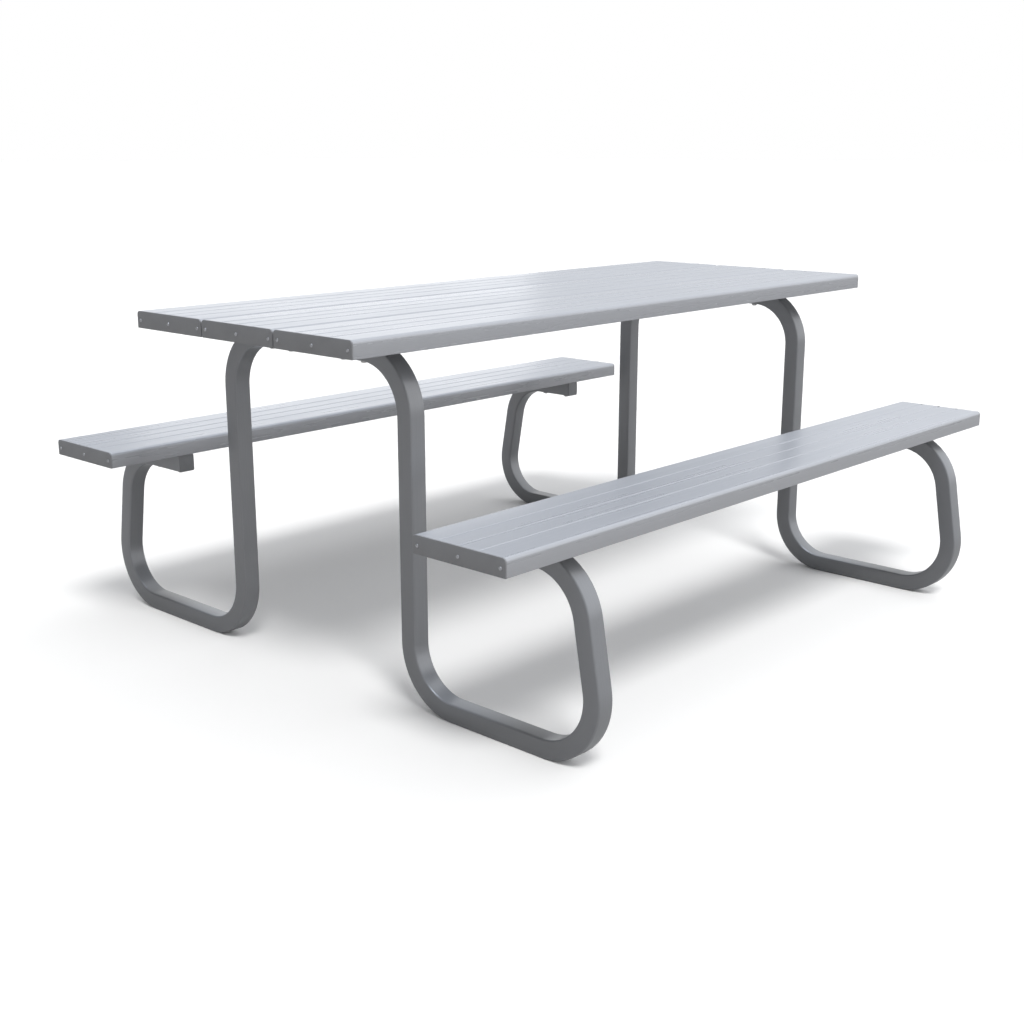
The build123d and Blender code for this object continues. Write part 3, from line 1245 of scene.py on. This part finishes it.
@dataclass
class Plank:
    """One plank with its end caps, their rivets and the bolts that hold it down."""

    node: str
    bolt_slots: tuple[int, ...]
    section: PlankSection = field(default_factory=PlankSection)
    joint: BoltedJoint = field(default_factory=BoltedJoint)
    cap_thickness: float = 3 * MM
    cap_rim: float = 0.8 * MM
    cap_hole: float = 2.1 * MM
    lug_reach: float = 10 * MM
    lug_thickness: float = 2 * MM
    lug_width: float = 46 * MM
    lug_clearance: float = 0.3 * MM
    rivet_radius: float = 3.6 * MM
    rivet_height: float = 1.6 * MM
    rivet_dome: float = 1.4 * MM
    rivet_shank: float = 2 * MM
    rivet_length: float = 16 * MM
    rivet_steps: int = 32
    dome_steps: int = 8
    tube_size: float = 40 * MM

    def __post_init__(self) -> None:
        """Reads the plank's place from the frame."""
        low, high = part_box(self.node)
        self.ends = {Side.LEFT: low.x, Side.RIGHT: high.x}
        self.length = high.x - low.x
        self.y = (low.y + high.y) / 2
        self.foot = low.z

    def build_extrusion(self, rack: FinishRack) -> None:
        """Builds the plank itself.

        Args:
            rack: The finishes.
        """
        bm = self.section.extrusion(self.length)
        bmesh.ops.transform(bm, matrix=across(self.ends[Side.LEFT], self.y, self.foot), verts=bm.verts)
        close_up(bm)
        rack.dress(bm, self.node, "extrusion", rack.plank)

    def build_cap(self, side: Side, rack: FinishRack) -> None:
        """The cover plate on one end, with its two lugs.

        Args:
            side: End of the table.
            rack: The finishes.
        """
        section = self.section
        bm = bmesh.new()
        size = (section.width, section.depth)
        radii = (section.foot_radius, section.top_radius)
        plate = rounded_plate(bm, size, (0.0, section.depth / 2), radii, section.corner_steps)
        thicken(bm, [plate], Vector((0.0, 0.0, self.cap_thickness)))
        round_edges(bm, edges_above(bm, self.cap_thickness / 2), self.cap_rim, RIM_STEPS)
        faces = flat_faces(bm, 0.0) + flat_faces(bm, self.cap_thickness)
        drill(bm, faces, section.ports, self.cap_hole, section.port_steps)
        lug_height = section.depth - section.wall - self.lug_clearance - self.lug_thickness / 2
        for direction in (-1, 1):
            lug = bmesh.ops.create_cube(bm, size=1.0)["verts"]
            bmesh.ops.scale(bm, vec=(self.lug_width, self.lug_thickness, self.lug_reach), verts=lug)
            centre = (direction * section.slot_spacing / 2, lug_height, -self.lug_reach / 2)
            bmesh.ops.translate(bm, vec=centre, verts=lug)
        place = across(self.ends[side], self.y, self.foot, side.value)
        bmesh.ops.transform(bm, matrix=place, verts=bm.verts)
        close_up(bm)
        node = f"{self.node}_cap_{side.word}"
        rack.dress(bm, node, "moulding", rack.cap)

    def build_rivets(self, side: Side, rack: FinishRack) -> None:
        """The three domed rivets of one cap.

        Args:
            side: End of the table.
            rack: The finishes.
        """
        bm = bmesh.new()
        flat = self.rivet_radius - self.rivet_dome
        middle = (flat, self.rivet_height - self.rivet_dome)
        dome = arc_points(middle, (self.rivet_dome, self.rivet_dome), 90, 0, self.dome_steps)
        profile = [
            (0.0, self.rivet_height),
            *dome,
            (self.rivet_radius, 0.0),
            (self.rivet_shank, 0.0),
            (self.rivet_shank, -self.rivet_length),
            (0.0, -self.rivet_length),
        ]
        turn_profile(bm, profile, self.rivet_steps)
        face = self.ends[side] + side.value * self.cap_thickness
        places = [
            across(face, self.y + offset, self.foot + height, side.value)
            for offset, height in self.section.ports
        ]
        copy_to(bm, places)
        close_up(bm)
        node = f"{self.node}_rivets_{side.word}"
        rack.dress(bm, node, "metal", rack.rivet)

    def build(self, frame_places: Sequence[float], rack: FinishRack) -> None:
        """Builds every piece of the plank.

        Args:
            frame_places: X of each end frame.
            rack: The finishes.
        """
        self.build_extrusion(rack)
        for side in Side:
            self.build_cap(side, rack)
            self.build_rivets(side, rack)
        rows = [self.y + slot * self.section.slot_spacing for slot in self.bolt_slots]
        sites = [(x, y) for x in frame_places for y in rows]
        self.joint.fit(self.node, sites, self.foot, self.tube_size, rack)


# ---------------------------------------------------------------- end frames


class TubeRunner:
    """Carries a ring of edges along a tube's path, and notes how far each vertex has come."""

    def __init__(self, bm: BMesh, ring: Sequence[BMVert], place: Vector, heading: Vector) -> None:
        """Starts at one end of the path.

        Args:
            bm: Mesh that the tube is made in.
            ring: Vertices of the first ring, in order round the tube.
            place: Middle of the ring.
            heading: Direction of the tube.
        """
        self.bm = bm
        self.ring = list(ring)
        self.place = place.copy()
        self.heading = heading.normalized()
        self.travelled = 0.0
        self.layer = bm.verts.layers.float_vector.get(TUBE_PLACE)

    def advance(self) -> list[BMVert]:
        """Extrudes the last ring in place, and gives the new ring's vertices."""
        return verts_of(bmesh.ops.extrude_edge_only(self.bm, edges=edges_among(self.ring)))

    def note(self, step: float) -> None:
        """Adds a step to the distance kept on the last ring.

        Args:
            step: Distance from the ring before it.
        """
        self.travelled += step
        for vert in self.ring:
            vert[self.layer].x = self.travelled

    def straight(self, length: float) -> None:
        """Runs the tube straight on.

        Args:
            length: Length of the run.
        """
        self.ring = self.advance()
        bmesh.ops.translate(self.bm, vec=self.heading * length, verts=self.ring)
        self.place += self.heading * length
        self.note(length)

    def bend(self, radius: float, degrees: float, steps: int) -> None:
        """Bends the tube about the X axis.

        Args:
            radius: Radius of the bend at the tube's middle.
            degrees: Angle of the bend, positive from +Y towards +Z.
            steps: Number of rings along it.
        """
        turn = Matrix.Rotation(math.radians(degrees) / steps, 3, "X")
        inward = Matrix.Rotation(math.copysign(QUARTER_TURN, degrees), 3, "X") @ self.heading
        centre = self.place + inward * radius
        for _ in range(steps):
            self.ring = self.advance()
            bmesh.ops.rotate(self.bm, cent=centre, matrix=turn, verts=self.ring)
            self.note(abs(math.radians(degrees)) * radius / steps)
            self.place = centre + turn @ (self.place - centre)
            self.heading = turn @ self.heading


@dataclass
class EndFrame:
    """Two bent half tubes, the sleeve that joins them and the plugs in their open ends."""

    side: Side
    bench_centre: float
    outer_table_bolt: float
    bench_inner_edge: float
    wall: float = 3 * MM
    corner_radius: float = 4 * MM
    bend_radius: float = 120 * MM
    table_bolt_to_bend: float = 13 * MM
    bench_bolt_to_bend: float = 10 * MM
    post_lean: float = 10.0
    sleeve_wall: float = 2.5 * MM
    plug_setback: float = 2 * MM
    plug_flange: float = 2 * MM
    plug_reach: float = 14 * MM
    plug_wall: float = 2.5 * MM
    plug_clearance: float = 0.2 * MM
    bend_steps: int = 36
    corner_steps: int = 6

    def __post_init__(self) -> None:
        """Reads the frame's place and the heights of its runs from the frame."""
        low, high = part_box(self.tube_node(Row.BACK))
        self.size = high.x - low.x
        self.x = (low.x + high.x) / 2
        self.table_run = high.z - self.size / 2
        self.floor_run = low.z + self.size / 2

    def tube_node(self, row: Row) -> str:
        """CAD node of one half tube."""
        return f"frame_{self.side.word}_{row.word}"

    @property
    def end(self) -> float:
        """Middle of the table to the tube's open end."""
        return self.bench_inner_edge + self.plug_setback + self.plug_flange

    def first_ring(self, bm: BMesh) -> list[BMVert]:
        """Draws the tube's section at the middle of the table, with distances round it.

        Args:
            bm: Mesh to draw in.

        Returns:
            The ring's vertices in order.
        """
        layer = bm.verts.layers.float_vector.new(TUBE_PLACE)
        radii = (self.corner_radius, self.corner_radius)
        face = rounded_plate(bm, (self.size, self.size), (0.0, 0.0), radii, self.corner_steps)
        ring = [loop.vert for loop in face.loops]
        travelled = 0.0
        previous = ring[0].co.copy()
        for vert in ring:
            travelled += (vert.co - previous).length
            previous = vert.co.copy()
            vert[layer] = (0.0, travelled, 0.0)
        bmesh.ops.delete(bm, geom=[face], context="FACES_ONLY")
        upright = Matrix.Rotation(QUARTER_TURN, 4, "X")
        place = Matrix.Translation((self.x, 0.0, self.table_run)) @ upright
        bmesh.ops.transform(bm, matrix=place, verts=ring)
        return ring

    def build_tube(self, row: Row, bench_run: float, rack: FinishRack) -> None:
        """One half tube, run from the middle of the table to a bench.

        Args:
            row: Side of the table.
            bench_run: Height of the tube's middle under the bench.
            rack: The finishes.
        """
        lean = self.post_lean
        radius = self.bend_radius
        top_reach = radius * math.tan(math.radians(90 - lean) / 2)
        foot_reach = radius * math.tan(math.radians(90 + lean) / 2)
        leg = self.outer_table_bolt + self.table_bolt_to_bend + radius
        post_top = self.bench_centre + self.bench_bolt_to_bend + top_reach
        rise = bench_run - self.floor_run
        foot = post_top + rise * math.tan(math.radians(lean))
        steps = self.bend_steps

        bm = bmesh.new()
        start = Vector((self.x, 0.0, self.table_run))
        runner = TubeRunner(bm, self.first_ring(bm), start, Vector((0.0, 1.0, 0.0)))
        runner.straight(leg - radius)
        runner.bend(radius, -90, steps)
        runner.straight(self.table_run - self.floor_run - 2 * radius)
        runner.bend(radius, 90, steps)
        runner.straight(foot - leg - radius - foot_reach)
        runner.bend(radius, 90 + lean, steps)
        runner.straight(rise / math.cos(math.radians(lean)) - foot_reach - top_reach)
        runner.bend(radius, 90 - lean, steps)
        runner.straight(post_top - top_reach - self.end)

        bmesh.ops.scale(bm, vec=(1.0, row.value, 1.0), verts=bm.verts)
        close_up(bm)
        bmesh.ops.solidify(bm, geom=list(bm.faces), thickness=self.wall)
        node = self.tube_node(row)
        rack.dress(bm, node, "tube", rack.tube)

    def build_sleeve(self, rack: FinishRack) -> None:
        """Builds the inner tube that joins the two halves under the table.

        Args:
            rack: The finishes.
        """
        node = f"frame_sleeve_{self.side.word}"
        low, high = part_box(node)
        size, length = high.x - low.x, high.y - low.y
        inner = self.corner_radius - self.wall
        bm = bmesh.new()
        face = rounded_plate(bm, (size, size), (0.0, 0.0), (inner, inner), self.corner_steps)
        ring = list(face.edges)
        bmesh.ops.delete(bm, geom=[face], context="FACES_ONLY")
        far = verts_of(bmesh.ops.extrude_edge_only(bm, edges=ring))
        bmesh.ops.translate(bm, vec=(0.0, 0.0, length), verts=far)
        upright = Matrix.Rotation(QUARTER_TURN, 4, "X")
        place = Matrix.Translation((self.x, high.y, self.table_run)) @ upright
        bmesh.ops.transform(bm, matrix=place, verts=bm.verts)
        close_up(bm)
        bmesh.ops.solidify(bm, geom=list(bm.faces), thickness=self.sleeve_wall)
        rack.dress(bm, node, "tube", rack.bar)

    def build_plug(self, row: Row, bench_run: float, rack: FinishRack) -> None:
        """The square plug in one end of the tube.

        Args:
            row: Side of the table.
            bench_run: Height of the tube's middle under the bench.
            rack: The finishes.
        """
        bm = bmesh.new()
        size = (self.size, self.size)
        radii = (self.corner_radius, self.corner_radius)
        plate = rounded_plate(bm, size, (0.0, 0.0), radii, self.corner_steps)
        thicken(bm, [plate], Vector((0.0, 0.0, self.plug_flange)))
        round_edges(bm, edges_above(bm, self.plug_flange / 2), self.plug_flange / 2, RIM_STEPS)

        skirt = bmesh.new()
        body = self.size - 2 * self.wall - 2 * self.plug_clearance
        inner = self.corner_radius - self.wall
        mouth = rounded_plate(skirt, (body, body), (0.0, 0.0), (inner, inner), self.corner_steps)
        made = bmesh.ops.inset_region(
            skirt, faces=[mouth], thickness=self.plug_wall, use_even_offset=True
        )
        thicken(skirt, made["faces"], Vector((0.0, 0.0, -self.plug_reach)))
        leftover = [face for face in skirt.faces if len(face.verts) > QUAD_SIDES]
        bmesh.ops.delete(skirt, geom=leftover, context="FACES")
        scratch = bpy.data.meshes.new("plug_skirt")
        skirt.to_mesh(scratch)
        skirt.free()
        bm.from_mesh(scratch)
        bpy.data.meshes.remove(scratch)

        facing = Matrix.Rotation(row.value * QUARTER_TURN, 4, "X")
        place = Matrix.Translation((self.x, row.value * self.end, bench_run)) @ facing
        bmesh.ops.transform(bm, matrix=place, verts=bm.verts)
        close_up(bm)
        node = f"tube_plug_{self.side.word}_{row.word}"
        rack.dress(bm, node, "moulding", rack.plug)

    def build(self, bench_foot: float, rack: FinishRack) -> None:
        """Builds the half tubes, their sleeve and their plugs.

        Args:
            bench_foot: Height of the bench planks' undersides.
            rack: The finishes.
        """
        bench_run = bench_foot - self.size / 2
        self.build_sleeve(rack)
        for row in Row:
            self.build_tube(row, bench_run, rack)
            self.build_plug(row, bench_run, rack)


# ---------------------------------------------------------------- tie bar


@dataclass
class TieBar:
    """Flat bar that ties the table planks together at mid-span."""

    node: str = "tie_bar"
    joint: BoltedJoint = field(default_factory=BoltedJoint)
    corner_radius: float = 10 * MM
    corner_steps: int = 8
    edge: float = 0.6 * MM
    edge_steps: int = 3

    def build(self, rows: Sequence[float], rack: FinishRack) -> None:
        """Builds the bar and its fasteners.

        Args:
            rows: Y of each table plank's middle slot.
            rack: The finishes.
        """
        low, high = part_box(self.node)
        thickness = high.z - low.z
        bm = bmesh.new()
        size = (high.x - low.x, high.y - low.y)
        radii = (self.corner_radius, self.corner_radius)
        plate = rounded_plate(bm, size, (0.0, 0.0), radii, self.corner_steps)
        thicken(bm, [plate], Vector((0.0, 0.0, -thickness)))
        round_edges(bm, level_edges(bm), self.edge, self.edge_steps)
        faces = flat_faces(bm, 0.0) + flat_faces(bm, -thickness)
        sites = [(0.0, y) for y in rows]
        drill(bm, faces, sites, self.joint.hole_radius, self.joint.steps)
        bmesh.ops.translate(bm, vec=(0.0, 0.0, high.z), verts=bm.verts)
        close_up(bm)
        rack.dress(bm, self.node, "plate", rack.bar)
        self.joint.fit(self.node, sites, high.z, thickness, rack)


# ---------------------------------------------------------------- studio


@dataclass
class Softbox:
    """One soft area light."""

    name: str
    place: Vector
    aim: Vector
    size: Point
    power: float
    colour: Colour = WHITE

    def build(self) -> None:
        """Adds the light, unseen by the camera."""
        data = bpy.data.lights.new(self.name, "AREA")
        data.shape = "RECTANGLE"
        data.size, data.size_y = self.size
        data.energy = self.power
        data.color = self.colour
        light = bpy.data.objects.new(self.name, data)
        light.location = self.place
        light.rotation_mode = "QUATERNION"
        light.rotation_quaternion = (self.aim - self.place).to_track_quat("-Z", "Y")
        light.visible_camera = False
        bpy.context.scene.collection.objects.link(light)


@dataclass
class Studio:
    """Pale floor, pale sky, soft lights and the camera."""

    eye: Vector = field(default_factory=lambda: Vector((-2.5112, -2.2205, 1.1076)))
    heading: float = 42.746
    dip: float = -14.774
    lens: float = 48.65
    sensor: float = 36.0
    reach: float = 200.0
    floor_seen: Colour = (1.0, 0.995, 0.985)
    floor_lit: Colour = (0.50, 0.50, 0.505)
    sky_colour: Colour = (0.96, 0.975, 1.0)
    sky_range: Point = (0.11, 1.36)
    sky_reach: float = math.sqrt(2)
    overhead_power: float = 2.95
    overhead_angle: float = 34.0
    overhead_colour: Colour = (0.79, 0.87, 1.0)
    slant_power: float = 1.75
    slant_angle: float = 17.0
    slant: Point = (0.36, 0.59)
    panel_bearing: float = 50.0
    panel_distance: float = 12.0
    panel_size: Point = (3.4, 4.0)
    panel_power: float = 31.0

    def build_camera(self) -> None:
        """Adds the camera and makes it the scene's."""
        data = bpy.data.cameras.new("studio_camera")
        data.lens = self.lens
        data.sensor_width = self.sensor
        data.clip_end = self.reach
        camera = bpy.data.objects.new("studio_camera", data)
        turn, dip = math.radians(self.heading), math.radians(self.dip)
        look = Vector((math.cos(dip) * math.cos(turn), math.cos(dip) * math.sin(turn), math.sin(dip)))
        camera.location = self.eye
        camera.rotation_mode = "QUATERNION"
        camera.rotation_quaternion = look.to_track_quat("-Z", "Y")
        bpy.context.scene.collection.objects.link(camera)
        bpy.context.scene.camera = camera

    def build_sky(self) -> None:
        """Adds a pale sky that is white where it is seen directly."""
        world = bpy.data.worlds.new("studio_sky")
        world.use_nodes = True
        sheet = NodeSheet(world.node_tree)
        output = sheet.add("ShaderNodeOutputWorld")
        seen = sheet.add("ShaderNodeBackground")
        sheet.feed(seen, Color=(*WHITE, 1.0), Strength=1.0)
        place = sheet.add("ShaderNodeTexCoord").outputs["Generated"]
        parts = sheet.wire(sheet.add("ShaderNodeSeparateXYZ"), place)
        lean = sheet.math("SUBTRACT", parts.outputs["X"], parts.outputs["Y"])
        bright = sheet.spread(lean, -self.sky_reach, self.sky_reach, *self.sky_range)
        lit = sheet.add("ShaderNodeBackground")
        sheet.feed(lit, Color=(*self.sky_colour, 1.0), Strength=bright)
        rays = sheet.add("ShaderNodeLightPath").outputs["Is Camera Ray"]
        mix = sheet.add("ShaderNodeMixShader")
        sheet.wire(mix, rays, lit.outputs[0], seen.outputs[0])
        sheet.feed(output, Surface=mix.outputs[0])
        bpy.context.scene.world = world

    def build_floor(self) -> bpy.types.Object:
        """Adds the floor, which is clear when it is seen from below.

        Returns:
            The floor.
        """
        bm = bmesh.new()
        bmesh.ops.create_grid(bm, x_segments=1, y_segments=1, size=self.reach / 2)
        mesh = bpy.data.meshes.new("studio_floor")
        bm.to_mesh(mesh)
        bm.free()
        material = bpy.data.materials.new("studio_floor")
        material.use_nodes = True
        sheet = NodeSheet(material.node_tree)
        output = sheet.add("ShaderNodeOutputMaterial")
        rays = sheet.add("ShaderNodeLightPath").outputs["Is Camera Ray"]
        pale = sheet.tint(rays, self.floor_lit, self.floor_seen)
        matt = sheet.feed(sheet.add("ShaderNodeBsdfDiffuse"), Color=pale)
        clear = sheet.add("ShaderNodeBsdfTransparent")
        below = sheet.add("ShaderNodeNewGeometry").outputs["Backfacing"]
        mix = sheet.add("ShaderNodeMixShader")
        sheet.wire(mix, below, matt.outputs[0], clear.outputs[0])
        sheet.feed(output, Surface=mix.outputs[0])
        mesh.materials.append(material)
        floor = bpy.data.objects.new("studio_floor", mesh)
        bpy.context.scene.collection.objects.link(floor)
        return floor

    def build_sun(
        self, name: str, power: float, angle: float, slant: Point, colour: Colour
    ) -> bpy.types.Object:
        """Adds a distant light.

        Args:
            name: Name of the light.
            power: Its strength.
            angle: How wide it looks, in degrees.
            slant: How far its rays drift along X and Y for each unit that they fall.
            colour: Its colour.

        Returns:
            The light.
        """
        data = bpy.data.lights.new(name, "SUN")
        data.energy = power
        data.angle = math.radians(angle)
        data.color = colour
        light = bpy.data.objects.new(name, data)
        light.rotation_mode = "QUATERNION"
        light.rotation_quaternion = Vector((*slant, -1.0)).to_track_quat("-Z", "Y")
        bpy.context.scene.collection.objects.link(light)
        return light

    def build_lights(self, floor: bpy.types.Object) -> None:
        """Adds the light on the table, the light on the floor and the panel that the tops mirror.

        Args:
            floor: The floor, which the slanting light falls on and the overhead light leaves out.
        """
        overhead = self.build_sun(
            "overhead_light", self.overhead_power, self.overhead_angle, (0.0, 0.0), self.overhead_colour
        )
        slanting = self.build_sun(
            "slanting_light", self.slant_power, self.slant_angle, self.slant, WHITE
        )
        for light, state in ((overhead, "EXCLUDE"), (slanting, "INCLUDE")):
            receivers = bpy.data.collections.new(f"{light.name}_receivers")
            receivers.objects.link(floor)
            receivers.collection_objects[0].light_linking.link_state = state
            light.light_linking.receiver_collection = receivers
        bearing = math.radians(self.panel_bearing)
        away = Vector((math.cos(bearing), math.sin(bearing), 0.0)) * self.panel_distance
        centre = Vector((self.eye.x, self.eye.y, self.panel_size[1] / 2)) + away
        Softbox("back_panel", centre, centre - away, self.panel_size, self.panel_power).build()

    def build(self) -> None:
        """Adds everything that isn't part of the table."""
        bpy.context.scene.view_settings.view_transform = "Standard"
        self.build_camera()
        self.build_sky()
        self.build_lights(self.build_floor())


# ---------------------------------------------------------------- the whole table


def main() -> None:
    """Builds the studio and every sub-assembly in order."""
    logging.basicConfig(level=logging.INFO, format="%(name)s: %(message)s")
    Studio().build()
    rack = FinishRack()
    table_planks = [
        Plank("table_plank_front", (1,)),
        Plank("table_plank_middle", (-1, 1)),
        Plank("table_plank_back", (-1,)),
    ]
    bench_planks = [
        Plank("bench_plank_front", (0, 1)),
        Plank("bench_plank_back", (-1, 0)),
    ]
    table_back, bench_back = table_planks[-1], bench_planks[-1]
    frames = [
        EndFrame(
            side,
            bench_centre=bench_back.y,
            outer_table_bolt=table_back.y - table_back.section.slot_spacing,
            bench_inner_edge=bench_back.y - bench_back.section.width / 2,
        )
        for side in Side
    ]
    for plank in table_planks + bench_planks:
        plank.build([end_frame.x for end_frame in frames], rack)
    for end_frame in frames:
        end_frame.build(bench_back.foot, rack)
    TieBar().build([plank.y for plank in table_planks], rack)


if __name__ == "__main__":
    main()
